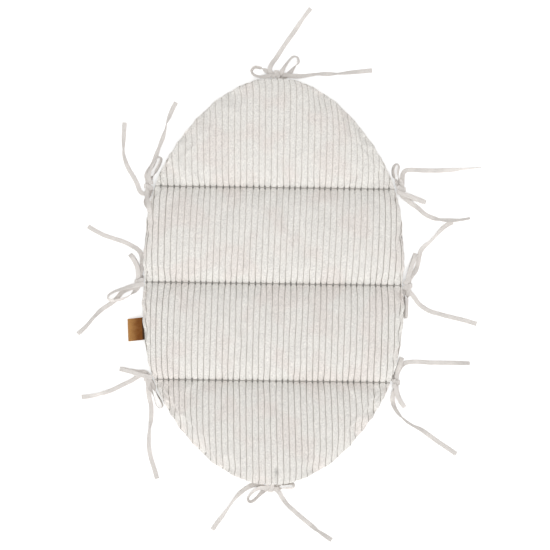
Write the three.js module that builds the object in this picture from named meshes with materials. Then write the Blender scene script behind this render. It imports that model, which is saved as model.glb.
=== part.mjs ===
// Padded insert of an infant lounger: four quilted panels in a row, sewn off by three
// cross channels that let the pad fold, with tie tapes round the edge.
// Millimetres. X runs across the pad, +Y points to the head end, +Z up.
// The origin is on the floor under the middle of the pad and its label together.
import * as THREE from 'three';

// Lengths of the four panels, from the head tip to the foot tip
const headLength = 188;
const backLength = 166;
const seatLength = 168;
const footLength = 178;
const padLength = headLength + backLength + seatLength + footLength;

// Half widths of the pad at its channels, and how far the sides of a panel swell between
const headSeamHalf = 207;
const middleSeamHalf = 222;
const footSeamHalf = 204;
const backSwell = 7.5;
const seatSwell = 9.5;

// Heights: the sewn edge, the filled top above it, and the flat that the pad lies on
const seamHeight = 9;
const crownHeight = 17;
const underFlatDepth = 0.5;

const coverThickness = 1.5;
const gap = 0.3;
const threadRadius = 1.2;
const threadSides = 8;

// Tie tapes
const tapeWidth = 8;
const tapeThickness = 0.9;
const headKnotReach = 13;
const middleKnotReach = 12;
const footKnotReach = 11;
const tipKnotReach = 9;
const rootOffset = 4.3;
const rootRun = 1.7;
const floorGap = 0.1;
const gatherShare = 0.8;
const stepsPerPoint = 2;

// Folded leather label in the left seam of the seat panel
const labelWidth = 39;
const labelReach = 27;
const labelLeather = 1.4;
const labelSlot = 0.6;
const foldSteps = 6;
const labelCentreShare = 0.48;
const labelDroop = THREE.MathUtils.degToRad(8);
const labelSkew = THREE.MathUtils.degToRad(3);

// Shape of the outline and of the filling, as powers and shares
const domePower = 1.18;
const swellPower = 3;
const tipShare = 0.004;
const channelPower = 4;
const edgePower = 8;
const rows = 8;
const columns = 14;

const headTip = padLength / 2;
const headSeam = headTip - headLength;
const middleSeam = headSeam - backLength;
const footSeam = middleSeam - seatLength;
const footTip = footSeam - footLength;
const seamClearance = threadRadius + gap;

const corduroy = new THREE.MeshStandardMaterial({ color: 0xdfdad3, roughness: 0.95, metalness: 0 });
const cotton = new THREE.MeshStandardMaterial({ color: 0xe6e1d8, roughness: 0.9, metalness: 0 });
const fibre = new THREE.MeshStandardMaterial({ color: 0xf2f1ee, roughness: 1, metalness: 0 });
const thread = new THREE.MeshStandardMaterial({ color: 0xcfc8bf, roughness: 0.8, metalness: 0 });
const twill = new THREE.MeshStandardMaterial({ color: 0xe0d5cc, roughness: 0.85, metalness: 0 });
const leather = new THREE.MeshStandardMaterial({ color: 0x8b5c30, roughness: 0.6, metalness: 0 });

// A panel runs from `start` to `end` along Y; a dome starts at its tip
const panels = [
  { name: 'head', start: headTip, end: headSeam, endHalf: headSeamHalf, dome: true },
  {
    name: 'back', start: headSeam, end: middleSeam,
    startHalf: headSeamHalf, endHalf: middleSeamHalf, swell: backSwell,
  },
  {
    name: 'seat', start: middleSeam, end: footSeam,
    startHalf: middleSeamHalf, endHalf: footSeamHalf, swell: seatSwell,
  },
  { name: 'foot', start: footTip, end: footSeam, endHalf: footSeamHalf, dome: true },
];

function halfWidthAt(panel, share) {
  if (panel.dome) {
    return panel.endHalf * Math.sqrt(1 - (1 - share) ** domePower);
  }
  const straight = THREE.MathUtils.lerp(panel.startHalf, panel.endHalf, share);
  return straight + panel.swell * (1 - Math.abs(2 * share - 1) ** swellPower);
}

// How full the panel is, from 0 at its sewn edges to 1 in its middle
function fullness(panel, along, across) {
  const channel = 1 - Math.abs(2 * along - 1) ** channelPower;
  const tip = Math.sqrt(1 - Math.abs(2 * along - 1) ** edgePower);
  const lengthwise = panel.dome && along < 0.5 ? tip : channel;
  return lengthwise * Math.sqrt(1 - Math.abs(across) ** edgePower);
}

// One skin of a panel as a grid of points, drawn in by `inset`; side is 1 for the top, -1 below
function skin(panel, side, inset) {
  const direction = Math.sign(panel.end - panel.start);
  const startInset = panel.dome ? inset : inset + seamClearance;
  const from = panel.start + direction * startInset;
  const to = panel.end - direction * (inset + seamClearance);
  const points = [];
  for (let row = 0; row <= rows; row += 1) {
    const along = (1 - Math.cos(Math.PI * row / rows)) / 2;
    const share = panel.dome ? tipShare + (1 - tipShare) * along : along;
    const half = halfWidthAt(panel, share) - inset;
    for (let column = 0; column <= columns; column += 1) {
      const across = Math.sin(Math.PI / 2 * (2 * column / columns - 1));
      const full = fullness(panel, along, across);
      const top = seamHeight + gap / 2 + (crownHeight - gap / 2 - inset) * full;
      const under = seamHeight - gap / 2 - (seamHeight + underFlatDepth - gap / 2 - inset) * full;
      const z = side > 0 ? top : Math.max(inset, under);
      points.push(half * across, THREE.MathUtils.lerp(from, to, along), z);
    }
  }
  return points;
}

// Closes two skins with the same rim into one solid
function closedBetween(upper, lower, mirrored) {
  const stride = columns + 1;
  const lowerStart = upper.length / 3;
  const faces = [];
  const addQuad = (a, b, c, d) => faces.push(a, b, c, a, c, d);
  for (let row = 0; row < rows; row += 1) {
    for (let column = 0; column < columns; column += 1) {
      const a = row * stride + column;
      addQuad(a, a + stride, a + stride + 1, a + 1);
      const b = lowerStart + a;
      addQuad(b, b + 1, b + stride + 1, b + stride);
    }
  }
  const rim = [];
  for (let column = 0; column < columns; column += 1) rim.push(column);
  for (let row = 0; row < rows; row += 1) rim.push(row * stride + columns);
  for (let column = columns; column > 0; column -= 1) rim.push(rows * stride + column);
  for (let row = rows; row > 0; row -= 1) rim.push(row * stride);
  rim.forEach((a, index) => {
    const b = rim[(index + 1) % rim.length];
    addQuad(a, b, lowerStart + b, lowerStart + a);
  });
  if (mirrored) faces.reverse();
  const geometry = new THREE.BufferGeometry();
  geometry.setAttribute('position', new THREE.Float32BufferAttribute([...upper, ...lower], 3));
  geometry.setIndex(faces);
  geometry.computeVertexNormals();
  return geometry;
}

function addMesh(parent, name, geometry, material) {
  const mesh = new THREE.Mesh(geometry, material);
  mesh.name = name;
  parent.add(mesh);
  return mesh;
}

function addPanel(parent, panel) {
  const mirrored = panel.end > panel.start;
  const fillInset = coverThickness + gap;
  const front = closedBetween(skin(panel, 1, 0), skin(panel, 1, coverThickness), mirrored);
  const back = closedBetween(skin(panel, -1, coverThickness), skin(panel, -1, 0), mirrored);
  const fill = closedBetween(skin(panel, 1, fillInset), skin(panel, -1, fillInset), mirrored);
  addMesh(parent, `front_cover_${panel.name}`, front, corduroy);
  addMesh(parent, `back_cover_${panel.name}`, back, cotton);
  addMesh(parent, `wadding_${panel.name}`, fill, fibre);
}

// The row of stitching that draws both covers together and acts as the hinge line
function addChannelStitching(parent, name, seam, half) {
  const rod = new THREE.CylinderGeometry(threadRadius, threadRadius, 2 * half, threadSides);
  const mesh = addMesh(parent, `channel_stitching_${name}`, rod, thread);
  mesh.rotation.z = Math.PI / 2;
  mesh.position.set(0, seam, seamHeight);
}

function addLabel(parent) {
  const outline = new THREE.Shape();
  const inner = labelSlot / 2;
  const outer = labelSlot / 2 + labelLeather;
  const foldCentre = -labelReach + outer;
  outline.moveTo(0, inner);
  outline.lineTo(0, outer);
  outline.lineTo(foldCentre, outer);
  outline.absarc(foldCentre, 0, outer, Math.PI / 2, Math.PI * 3 / 2, false);
  outline.lineTo(0, -outer);
  outline.lineTo(0, -inner);
  outline.lineTo(foldCentre, -inner);
  outline.absarc(foldCentre, 0, inner, Math.PI * 3 / 2, Math.PI / 2, true);
  outline.lineTo(0, inner);
  const geometry = new THREE.ExtrudeGeometry(outline, {
    depth: labelWidth, bevelEnabled: false, curveSegments: foldSteps,
  });
  geometry.translate(0, 0, -labelWidth / 2);
  geometry.rotateX(Math.PI / 2);
  const seat = panels[2];
  const edge = halfWidthAt(seat, labelCentreShare);
  const mesh = addMesh(parent, 'leather_label', geometry, leather);
  mesh.rotation.set(0, -labelDroop, labelSkew);
  const place = THREE.MathUtils.lerp(seat.start, seat.end, labelCentreShare);
  mesh.position.set(-edge - labelWidth / 2 * Math.sin(labelSkew) - gap, place, seamHeight);
}

// Each tie tape follows points chosen by hand: along the edge, outward, up and roll in
// degrees about its own run, 0 or 180 lying flat and 90 standing on its edge. A null roll
// carries the tape round a tight turn. Tails count their roll from the flat in the knot.
const stations = [
  {
    name: 'head_tip', at: [0, headTip + tipKnotReach], along: [1, 0], outward: [0, 1], root: -8.6,
    first: {
      flat: 180,
      loop: [
        [-8, -2.8, 9.1, 0], [-17, -4.8, 8, 20], [-30, -5, 5.4, 80], [-40, -1, 5.2, 90],
        [-43, 5, 5.2, 90], [-38, 11, 5.2, 90], [-28, 10, 5.2, 90], [-20, 6.6, 3.6, 150],
        [-12, 1.8, 3.9, 180],
      ],
      tail: [
        [14, -1.4, 4.3, 0], [24, -2.6, 4.3, 0], [36, -3, 2.4, 0], [50, -2, 0, -30],
        [71, 1, 0, -50], [88, 1.5, 0, -10], [106, 2, 0, -60], [131, 5, 0, -20], [166, 9, 0, 0],
      ],
    },
    second: {
      flat: 0,
      loop: [
        [6, -6, 2.6, 180], [14, -4.5, 1.6, 180], [23, 2.5, 1.4, 180], [31, 12, 4, 130],
        [38, 21, 5.2, 90], [36, 29, 5.2, 90], [29, 30.5, 5.2, 90], [20, 21.5, 5.2, 90],
        [13, 11, 5.6, 50], [8.5, 3, 5.8, 4],
      ],
      tail: [
        [-10, 2.5, 5.6, 0], [-11.5, 9, 4.6, 0], [-8, 18, 2.4, 0], [-1, 28, 0, 0],
        [14, 51, 0, 30], [31, 76, 0, 0], [45, 97, 0, 50], [58, 115, 0, 20],
      ],
    },
  },
  {
    name: 'head_left', at: [-headSeamHalf - headKnotReach, headSeam], along: [0, -1],
    outward: [-1, 0], root: -10,
    first: {
      flat: 180,
      loop: [
        [-9, -3.5, 9.2, 0], [-18, -1.5, 8.4, 15], [-29, -5, 7, 75], [-42, -11, 6.8, 90],
        [-50, -17, 6.8, 90], [-48, -22.5, 6.8, 90], [-38, -20, 6.8, 90], [-27, -14.5, 6.6, 90],
        [-18, -9.8, 5.6, 115], [-11, -4, 4, 175],
      ],
      tail: [
        [11, 1.6, 4.2, 0], [13.5, 7.5, 3.4, 0], [9, 13.5, 2.2, 0], [-3, 18.5, 0.8, 0],
        [-14, 24, 0, 0], [-32, 35, 0, -10], [-52, 42, 0, -50], [-64, 43, 0, -70],
        [-81, 43, 0, -30], [-110, 42, 0, 0],
      ],
    },
    second: {
      flat: 0,
      loop: [
        [6, -5, 2.8, 180], [14, -2.5, 2.4, 180], [21, 1, 3.6, 180], [27, 2.5, 8.5, 180],
        [33, 0.5, 15.5, 180], [40, -4.5, 19.4, 180], [46, -5, 21.8, null], [41, -5, 24.2, 0],
        [32, -3.5, 22.5, 0], [23, -0.5, 16.5, 0], [16, 0.5, 10.5, 0], [11, 0.4, 6.8, 0],
      ],
      tail: [
        [-11, 0.8, 5.5, 0], [-18, 2.4, 4.5, 0], [-26, -0.5, 2.2, 0], [-38, -8, 0, 0],
        [-52, -13, 0, 0], [-66, -18, 0, 40], [-82, -24, 0, 10], [-98, -29, 0, 60],
        [-108, -31, 0, 75], [-122, -36, 0, 20], [-137, -42, 0, 0], [-146, -47, 0, 10],
      ],
    },
  },
  {
    name: 'head_right', at: [headSeamHalf + headKnotReach, headSeam], along: [0, 1],
    outward: [1, 0], root: -10,
    first: {
      flat: 180,
      loop: [
        [-7, -1, 9.2, 0], [-11, 12, 8.6, 0], [-16, 26, 8.2, 0], [-20, 37, 7.8, 0],
        [-22, 41.5, 4.6, null], [-20.5, 38, 1.2, 180], [-16, 25, 1.4, 180],
        [-13.5, 12, 2.8, 180], [-11.5, 4, 3.9, 180],
      ],
      tail: [
        [11, 0.5, 4.2, 0], [19, 0.8, 2.8, 0], [27, 1.8, 0.8, 0], [33, 6, 0, 0],
        [34.5, 14, 0, 0], [34, 35, 0, 0], [34, 61, 0, 0], [35, 85, 0, -30],
        [37, 105, 0, -70], [40, 136, 0, -85],
      ],
    },
    second: {
      flat: 180,
      loop: [
        [6, -6, 2.8, 180], [13, -9.5, 3.6, 150], [22, -14, 6, 90], [31, -16, 6.4, 90],
        [40, -14, 6.4, 90], [44, -9.5, 6.4, 90], [40, -6, 6.4, 90], [30, -7.5, 6.2, 90],
        [20, -6.5, 5.9, 110], [12, -1.5, 5.7, 172],
      ],
      tail: [
        [-11, 1, 5.5, 0], [-17, 8, 4.9, 0], [-24, 17, 3.2, 0], [-31, 28, 0, 0],
        [-42, 41, 0, 10], [-48, 54, 0, 0], [-51, 66, 0, 50], [-52, 85, 0, 20],
        [-51, 102, 0, 55], [-48, 119, 0, 60],
      ],
    },
  },
  {
    name: 'middle_left', at: [-middleSeamHalf - middleKnotReach, middleSeam], along: [0, 1],
    outward: [-1, 0], root: -10,
    first: {
      flat: 180,
      loop: [
        [-5.5, 1, 9, 0], [-8, 12, 8, 20], [-12, 26, 6.8, 75], [-18, 42, 6.8, 90],
        [-25, 51.5, 6.8, 90], [-31, 51, 6.8, 90], [-33, 42, 6.8, 90], [-30.5, 28, 6.8, 90],
        [-23.5, 14, 6, 110], [-15.5, 5, 4.6, 155], [-9.5, 0.8, 4.25, 178],
      ],
      tail: [
        [11, -2, 4.2, 0], [19, -4.5, 3.9, 0], [28, -6, 3.4, 0], [38, -6, 3, 0],
        [48, -4, 2, 0], [56, 2, 0.7, 0], [62, 12, 0, 0], [69, 27, 0, -10],
        [74, 43, 0, 0], [80, 61, 0, 0], [88, 77, 0, 0], [95, 89, 0, 0],
      ],
    },
    second: {
      flat: 0,
      loop: [
        [6, -5.5, 2.8, 180], [13, -2.5, 1.6, 180], [24, 1, 1.2, 180], [35, 6, 1, 180],
        [44, 12, 1.4, 180], [47.5, 15, 4.6, null], [44, 12.2, 7.8, 0], [35, 6.5, 8.2, 0],
        [24, 1.5, 7.6, 0], [13, 0.3, 6.2, 0],
      ],
      tail: [
        [-9, 2.2, 5.8, 0], [-10, 8.5, 5.6, 0], [-12.5, 17, 4, 0], [-18.5, 28, 1.4, 0],
        [-31, 38.5, 0, 0], [-38, 47, 0, 0], [-49, 63, 0, 0], [-61, 75, 0, 40],
        [-79, 90, 0, 30], [-92, 104, 0, 0],
      ],
    },
  },
  {
    name: 'middle_right', at: [middleSeamHalf + middleKnotReach, middleSeam], along: [0, -1],
    outward: [1, 0], root: -10,
    first: {
      flat: 180,
      loop: [
        [-8, -2.5, 9.2, 0], [-18, -0.5, 8.8, 0], [-36, 5, 8.4, 0], [-50, 9.8, 8, 0],
        [-55.5, 11.5, 4.8, null], [-50, 9.8, 1.4, 180], [-36, 5, 1.2, 180],
        [-18, 1, 2.8, 180], [-10.5, 0.2, 4, 180],
      ],
      tail: [
        [10.5, 1.2, 4.2, 0], [15, 5.5, 3.6, 0], [22, 11.5, 1.8, 0], [31, 18, 0, 0],
        [38, 27, 0, 0], [44, 38, 0, 0], [49, 56, 0, -10], [54, 76, 0, 0],
        [59, 98, 0, 0], [65, 119, 0, 0],
      ],
    },
    second: {
      flat: 180,
      loop: [
        [6, -5.5, 2.8, 180], [12, -6.8, 3, 168], [20, -6.8, 4.9, 100], [40, -6.3, 5, 90],
        [54, -5.9, 5, 90], [56.5, -4.2, 5, 90], [54, -2.6, 5, 90], [40, -2.2, 5, 90],
        [24, -1.8, 5.4, 95], [16, -1.2, 5.7, 155], [10, -0.3, 5.5, 176],
      ],
      tail: [
        [-11, 1.5, 5.5, 0], [-18, 6, 4.5, 0], [-26, 12, 2.4, 0], [-36, 15.5, 0, 0],
        [-50, 18, 0, 0], [-60, 20.5, 0, 0], [-68, 26.5, 0, 10], [-76, 36, 0, 50],
        [-87, 46, 0, 50], [-102, 60, 0, 0], [-111, 75, 0, 0],
      ],
    },
  },
  {
    name: 'foot_left', at: [-footSeamHalf - footKnotReach, footSeam], along: [0, -1],
    outward: [-1, 0], root: -8,
    first: {
      flat: 180,
      loop: [
        [-5, 2, 9.1, 0], [-8.5, 17, 8.8, 0], [-13, 31, 8.4, 0], [-16, 44, 8, 0],
        [-17, 49, 4.8, null], [-16, 44, 1.4, 180], [-13.5, 31, 1.2, 180],
        [-12, 17, 2.2, 180], [-12, 7, 3.6, 180], [-8.5, 1, 4.2, 180],
      ],
      tail: [
        [12, -0.5, 4.2, 0], [22, -1, 3, 0], [34, -3, 1.2, 0], [48, -6, 0, 0],
        [69, -6, 0, 0], [85, -4, 0, -55], [100, -3, 0, -30], [117, -3, 0, -20],
        [138, -7, 0, 0], [156, -13, 0, 0], [173, -18, 0, 0],
      ],
    },
    second: {
      flat: 180,
      loop: [
        [6, -6.5, 2.8, 180], [14, -10.3, 3.2, 165], [22, -14, 5, 100], [30, -18.5, 5.2, 90],
        [40, -24, 5.2, 90], [47, -26, 5.2, 90], [50.5, -20.5, 5.2, 90], [44, -14.5, 5.2, 90],
        [33, -11.5, 5.3, 90], [22, -7.2, 5.6, 110], [12, -1.6, 5.7, 174],
      ],
      tail: [
        [-10.5, 1.8, 5.6, 0], [-10, 9, 5.2, 0], [-5, 16, 3.6, 0], [3, 28, 0, 0],
        [12, 46, 0, 0], [21, 64, 0, 0], [28, 85, 0, 40], [32, 104, 0, 0], [33, 115, 0, 0],
      ],
    },
  },
  {
    name: 'foot_right', at: [footSeamHalf + footKnotReach, footSeam], along: [0, 1],
    outward: [1, 0], root: -8,
    first: {
      flat: 180,
      loop: [
        [-8, -1.5, 9.2, 0], [-18, 0.5, 8.8, 0], [-30, 6, 8.4, 0], [-39, 12, 8, 0],
        [-42.5, 15, 4.8, null], [-39, 12, 1.4, 180], [-30, 6.5, 1.2, 180],
        [-18, 1.8, 2.8, 180], [-10.5, 0.3, 4, 180],
      ],
      tail: [
        [12, 0.5, 4.3, 0], [20, 3.2, 4, 0], [28, 8, 3, 0], [33.5, 15, 1.6, 0],
        [35.5, 24, 0, 0], [36, 39, 0, 0], [35, 58, 0, 0], [35, 79, 0, 0],
        [35, 99, 0, 0], [35, 127, 0, 40],
      ],
    },
    second: {
      flat: 0,
      loop: [
        [6, -5, 2.8, 180], [13, -1, 1.6, 180], [20, 2.2, 1.2, 180], [32, 6, 1, 180],
        [39.5, 8, 1.4, 180], [43, 9, 4.6, null], [39.5, 8, 7.8, 0], [32, 6, 8.2, 0],
        [20, 2, 7.4, 0], [12, 0.3, 6.2, 0],
      ],
      tail: [
        [-11, -1.5, 5.5, 0], [-18, -4.5, 4.9, 0], [-27, -6, 2.6, 0], [-36, -5, 0, 0],
        [-44, -2, 0, 30], [-52, 3, 0, 40], [-60, 10, 0, 70], [-67, 18, 0, 60],
        [-75, 31, 0, 60], [-81, 44, 0, 30], [-90, 57, 0, 0], [-102, 74, 0, 0],
        [-111, 88, 0, 0], [-123, 106, 0, 0],
      ],
    },
  },
  {
    name: 'foot_tip', at: [0, footTip - tipKnotReach], along: [1, 0], outward: [0, -1], root: -8.6,
    first: {
      flat: 0,
      loop: [
        [-8, -2.6, 9.2, 0], [-16, -2, 8.4, 15], [-26, 2, 7, 75], [-35, 10, 6.8, 90],
        [-39, 17, 6.8, 90], [-36.5, 22.5, 6.8, 90], [-30, 21, 6.8, 90], [-22, 13.5, 6.6, 90],
        [-17, 8.5, 5.4, 60], [-11, 2.8, 4.1, 4],
      ],
      tail: [
        [10.5, 1.8, 4.2, 0], [15.5, 7.5, 3.2, 0], [21, 17, 1.2, 0], [30, 28, 0, 30],
        [43, 40, 0, 0], [56, 51, 0, 0], [70, 62, 0, 0], [83, 72, 0, 60],
        [95, 80, 0, 30], [107, 88, 0, 10],
      ],
    },
    second: {
      flat: 180,
      loop: [
        [6, -5.5, 2.8, 180], [13, -6.5, 3.4, 150], [22, -8.4, 5.4, 95], [31, -9.8, 5.6, 90],
        [38, -9, 5.6, 90], [40.5, -5, 5.6, 90], [37, -1.8, 5.6, 90], [28, -1.8, 5.6, 90],
        [19, -1, 5.7, 110], [11.5, -0.2, 5.6, 175],
      ],
      tail: [
        [-10, -1.8, 5.7, 0], [-17, -5, 4.8, 0], [-27, -6.3, 1.6, 0], [-37, -3, 0, 0],
        [-51, 7, 0, 0], [-63, 20, 0, 50], [-72, 33, 0, 60], [-83, 49, 0, 30],
        [-92, 61, 0, 0], [-100, 73, 0, 0],
      ],
    },
  },
];

// The first tape leaves the seam, makes its loop and passes straight through the knot
function firstRoute(station) {
  const { flat, loop, tail } = station.first;
  return [
    [-rootOffset, station.root, 9.2, 0], [-rootOffset, station.root + rootRun, 9.2, 0], ...loop,
    [-5.5, 0, 4.25, flat], [0, 0, 4.25, flat], [5.5, 0, 4.25, flat],
    ...tail.map(([x, y, z, roll]) => [x, y, z, roll + flat]),
  ];
}

// The second tape wraps over and under the knot first, then loops and passes through it
function secondRoute(station) {
  const { flat, loop, tail } = station.second;
  return [
    [rootOffset, station.root, 8.8, 0], [rootOffset, station.root + rootRun, 8.6, 0],
    [1.6, -3, 7.4, 0], [0, 0.5, 6.9, 0], [0, 4, 6.6, 0],
    [0, 6.2, 4.8, null], [0, 4, 3.1, 180], [0, 0, 3, 180], [1.8, -4.2, 2.8, 180], ...loop,
    [5.5, 0, 5.5, flat], [0, 0, 5.5, flat], [-5.5, 0, 5.5, flat],
    ...tail.map(([x, y, z, roll]) => [x, y, z, roll + flat]),
  ];
}

// Width direction at each point of a route; a null roll takes the mean of its neighbours
function widthDirections(route) {
  const directions = route.map(([x, y, , roll], index) => {
    if (roll === null) return null;
    const before = route[Math.max(index - 1, 0)];
    const after = route[Math.min(index + 1, route.length - 1)];
    const ahead = new THREE.Vector2(after[0] - before[0], after[1] - before[1]).normalize();
    const angle = THREE.MathUtils.degToRad(roll);
    const level = Math.cos(angle);
    return new THREE.Vector3(-ahead.y * level, ahead.x * level, Math.sin(angle));
  });
  return directions.map((direction, index) => {
    if (direction) return direction;
    return directions[index - 1].clone().add(directions[index + 1]).normalize();
  });
}

// A tape gathers where it turns in its own plane too tightly for its full width
function gatheredHalves(places, widths) {
  const halves = places.map(() => tapeWidth / 2);
  for (let index = 1; index < places.length; index += 1) {
    const run = places[index].clone().sub(places[index - 1]);
    const turn = Math.abs(widths[index].clone().sub(widths[index - 1]).dot(run)) / run.lengthSq();
    const widest = Math.min(tapeWidth / 2, gatherShare / Math.max(turn, gatherShare / tapeWidth));
    halves[index - 1] = Math.min(halves[index - 1], widest);
    halves[index] = Math.min(halves[index], widest);
  }
  return halves;
}

// A flat tape swept along a route as rings of four corners
function tapeGeometry(route, station) {
  const curve = new THREE.CatmullRomCurve3(
    route.map(([x, y, z]) => new THREE.Vector3(x, y, z)), false, 'centripetal',
  );
  const rolls = widthDirections(route);
  const steps = (route.length - 1) * stepsPerPoint;
  const places = [];
  const headings = [];
  const widths = [];
  for (let step = 0; step <= steps; step += 1) {
    const ahead = curve.getTangent(step / steps);
    const index = Math.min(Math.floor(step / stepsPerPoint), route.length - 2);
    const width = rolls[index].clone().lerp(rolls[index + 1], step / stepsPerPoint - index);
    places.push(curve.getPoint(step / steps));
    headings.push(ahead);
    widths.push(width.addScaledVector(ahead, -width.dot(ahead)).normalize());
  }
  const halves = gatheredHalves(places, widths);
  const points = [];
  places.forEach((place, step) => {
    const face = headings[step].clone().cross(widths[step]).multiplyScalar(tapeThickness / 2);
    const width = widths[step].clone().multiplyScalar(halves[step]);
    const height = Math.max(place.z, Math.abs(width.z) + Math.abs(face.z) + floorGap);
    for (const [a, b] of [[1, 1], [-1, 1], [-1, -1], [1, -1]]) {
      const x = place.x + a * width.x + b * face.x;
      const y = place.y + a * width.y + b * face.y;
      points.push(
        station.at[0] + station.along[0] * x + station.outward[0] * y,
        station.at[1] + station.along[1] * x + station.outward[1] * y,
        height + a * width.z + b * face.z,
      );
    }
  });
  const faces = [];
  for (let step = 0; step < steps; step += 1) {
    const [a, b, c, d] = [4 * step, 4 * step + 1, 4 * step + 2, 4 * step + 3];
    faces.push(a, b, b + 4, a, b + 4, a + 4, b, c, c + 4, b, c + 4, b + 4);
    // The lower face is split along the same diagonal as the upper one
    faces.push(c, d, c + 4, d, d + 4, c + 4, d, a, a + 4, d, a + 4, d + 4);
  }
  const last = 4 * steps;
  faces.push(0, 2, 1, 0, 3, 2, last, last + 1, last + 2, last, last + 2, last + 3);
  const mirrored = station.along[0] * station.outward[1] - station.along[1] * station.outward[0] < 0;
  if (mirrored) faces.reverse();
  const geometry = new THREE.BufferGeometry();
  geometry.setAttribute('position', new THREE.Float32BufferAttribute(points, 3));
  geometry.setIndex(faces);
  geometry.computeVertexNormals();
  return geometry;
}

const lounger = new THREE.Group();
for (const panel of panels) addPanel(lounger, panel);
addChannelStitching(lounger, 'head', headSeam, headSeamHalf);
addChannelStitching(lounger, 'middle', middleSeam, middleSeamHalf);
addChannelStitching(lounger, 'foot', footSeam, footSeamHalf);
addLabel(lounger);
const body = new THREE.Box3().setFromObject(lounger);
lounger.position.x = -(body.min.x + body.max.x) / 2;
for (const station of stations) {
  addMesh(lounger, `tie_${station.name}_1`, tapeGeometry(firstRoute(station), station), twill);
  addMesh(lounger, `tie_${station.name}_2`, tapeGeometry(secondRoute(station), station), twill);
}

export default lounger;
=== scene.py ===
import math

import bpy
import numpy as np
from mathutils import Euler, Matrix, Vector


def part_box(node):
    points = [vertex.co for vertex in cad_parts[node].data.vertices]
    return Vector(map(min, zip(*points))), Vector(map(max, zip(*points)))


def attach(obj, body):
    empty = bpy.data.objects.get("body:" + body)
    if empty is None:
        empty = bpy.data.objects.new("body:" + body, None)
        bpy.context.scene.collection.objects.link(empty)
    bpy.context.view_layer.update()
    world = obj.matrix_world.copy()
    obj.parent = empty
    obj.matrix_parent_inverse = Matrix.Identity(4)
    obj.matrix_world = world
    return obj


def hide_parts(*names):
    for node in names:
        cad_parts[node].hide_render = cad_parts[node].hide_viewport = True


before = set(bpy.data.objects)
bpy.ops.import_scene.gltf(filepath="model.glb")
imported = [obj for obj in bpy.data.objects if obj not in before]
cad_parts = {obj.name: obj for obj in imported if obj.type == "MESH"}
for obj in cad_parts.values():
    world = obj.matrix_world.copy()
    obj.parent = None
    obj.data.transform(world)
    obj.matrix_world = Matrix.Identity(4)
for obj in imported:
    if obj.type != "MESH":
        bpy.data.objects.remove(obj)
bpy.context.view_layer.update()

mm = 0.001

# The pad's middle line: the origin is under the pad and its label together
seam_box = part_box("channel_stitching_middle")
middle_x = (seam_box[0][0] + seam_box[1][0]) / 2

# The pad, as the solids have it
head_tip = 350 * mm
head_seam = 162 * mm
middle_seam = -4 * mm
foot_seam = -172 * mm
foot_tip = -350 * mm
head_seam_half = 207 * mm
middle_seam_half = 222 * mm
foot_seam_half = 204 * mm
back_swell = 7.5 * mm
seat_swell = 9.5 * mm
seam_height = 9 * mm
crown_height = 17 * mm
under_depth = 9.5 * mm
cover_inset = 3.5 * mm
cover_share = 0.42
fill_inset = 4.5 * mm
fill_share = 0.34
cover_gap = 0.3 * mm
seam_clearance = 0.7 * mm

# Shape of the outline and of the filling, as powers and shares
dome_power = 1.18
swell_power = 3
tip_share = 0.004
channel_power = 4
edge_power = 8

# How the cloth is filled: the share of the crown that it starts from, how far it may move,
# and for how many frames it is blown up
slack_crown = 0.82
most_moved = 12 * mm
fill_frames = 20
# How flat the top becomes, how steeply it leaves a channel and from what height, and the
# share of the plain rise that it keeps at least
plumpness = 0.42
fold_slope = 0.93
fold_start = 0.12 * mm
least_fill = 0.45
# How full the wadding is said to be
cloth_settings = {
    "quality": 6, "mass": 0.15, "air_damping": 3, "tension_stiffness": 30,
    "compression_stiffness": 12, "shear_stiffness": 8, "bending_stiffness": 0.6,
    "use_pressure": True, "uniform_pressure_force": 4, "shrink_min": -0.025,
}

# Wales of the corduroy
wale_pitch = 10.4 * mm
groove_depth = 1.5 * mm
groove_width = 0.9 * mm
groove_share = 0.5
rim_fade = 3 * mm
seam_reach = 7 * mm
seam_deepening = 0.5
# How the grooves wander along the cloth, each with phases of its own
groove_wander = 0.12 * mm
wander_length = 46 * mm
wander_phase = 1.7
ripple_share = 0.6
ripple_rate = 2.3
ripple_phase = 2.9
# How they bend at the channels
seam_bend = 1.1 * mm
bend_reach = 13 * mm
bend_phase = 1.3
# How far the wales lie aside at each seam and tip, and how near the sides that ends
head_tip_drift = 3.5 * mm
head_seam_drift = 4 * mm
middle_seam_drift = -1 * mm
foot_seam_drift = -4 * mm
foot_tip_drift = 2 * mm
drift_fade = 28 * mm
# Pucker that the tie draws into the foot tip, and where its painted shade lies
pucker_place = 8 * mm
pucker_rise = 24 * mm
pucker_width = 5 * mm
pucker_run = 15 * mm
pucker_depth = 4 * mm

# Gathers of the back cover at the channels and the rim
gather_pitch = 13 * mm
gather_depth = 1.3 * mm
gather_reach = 9 * mm
gather_swing = 1.8

# Channel stitching
crease_radius = 0.6 * mm
stitch_length = 2.2 * mm
stitch_pitch = 3.1 * mm
stitch_radius = 0.28 * mm
bar_tip_share = 0.35

# Tie tapes
tape_width = 8 * mm
tape_thickness = 0.9 * mm
head_knot_reach = 13 * mm
middle_knot_reach = 12 * mm
foot_knot_reach = 11 * mm
tip_knot_reach = 9 * mm
floor_gap = 0.1 * mm
# Half a tape's width is at most this share of the radius at which it turns in its plane
gathered_share = 0.8

# Folded leather label
label_width = 39 * mm
label_reach = 27 * mm
label_leather = 1.4 * mm
label_slot = 0.6 * mm
label_edge_round = 0.35 * mm
label_centre_share = 0.48
label_droop = math.radians(8)
label_skew = math.radians(3)
label_slope = 0.07
label_tuck = 2 * mm
label_worn_reach = 6 * mm
label_shade_reach = 2.4 * mm

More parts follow.
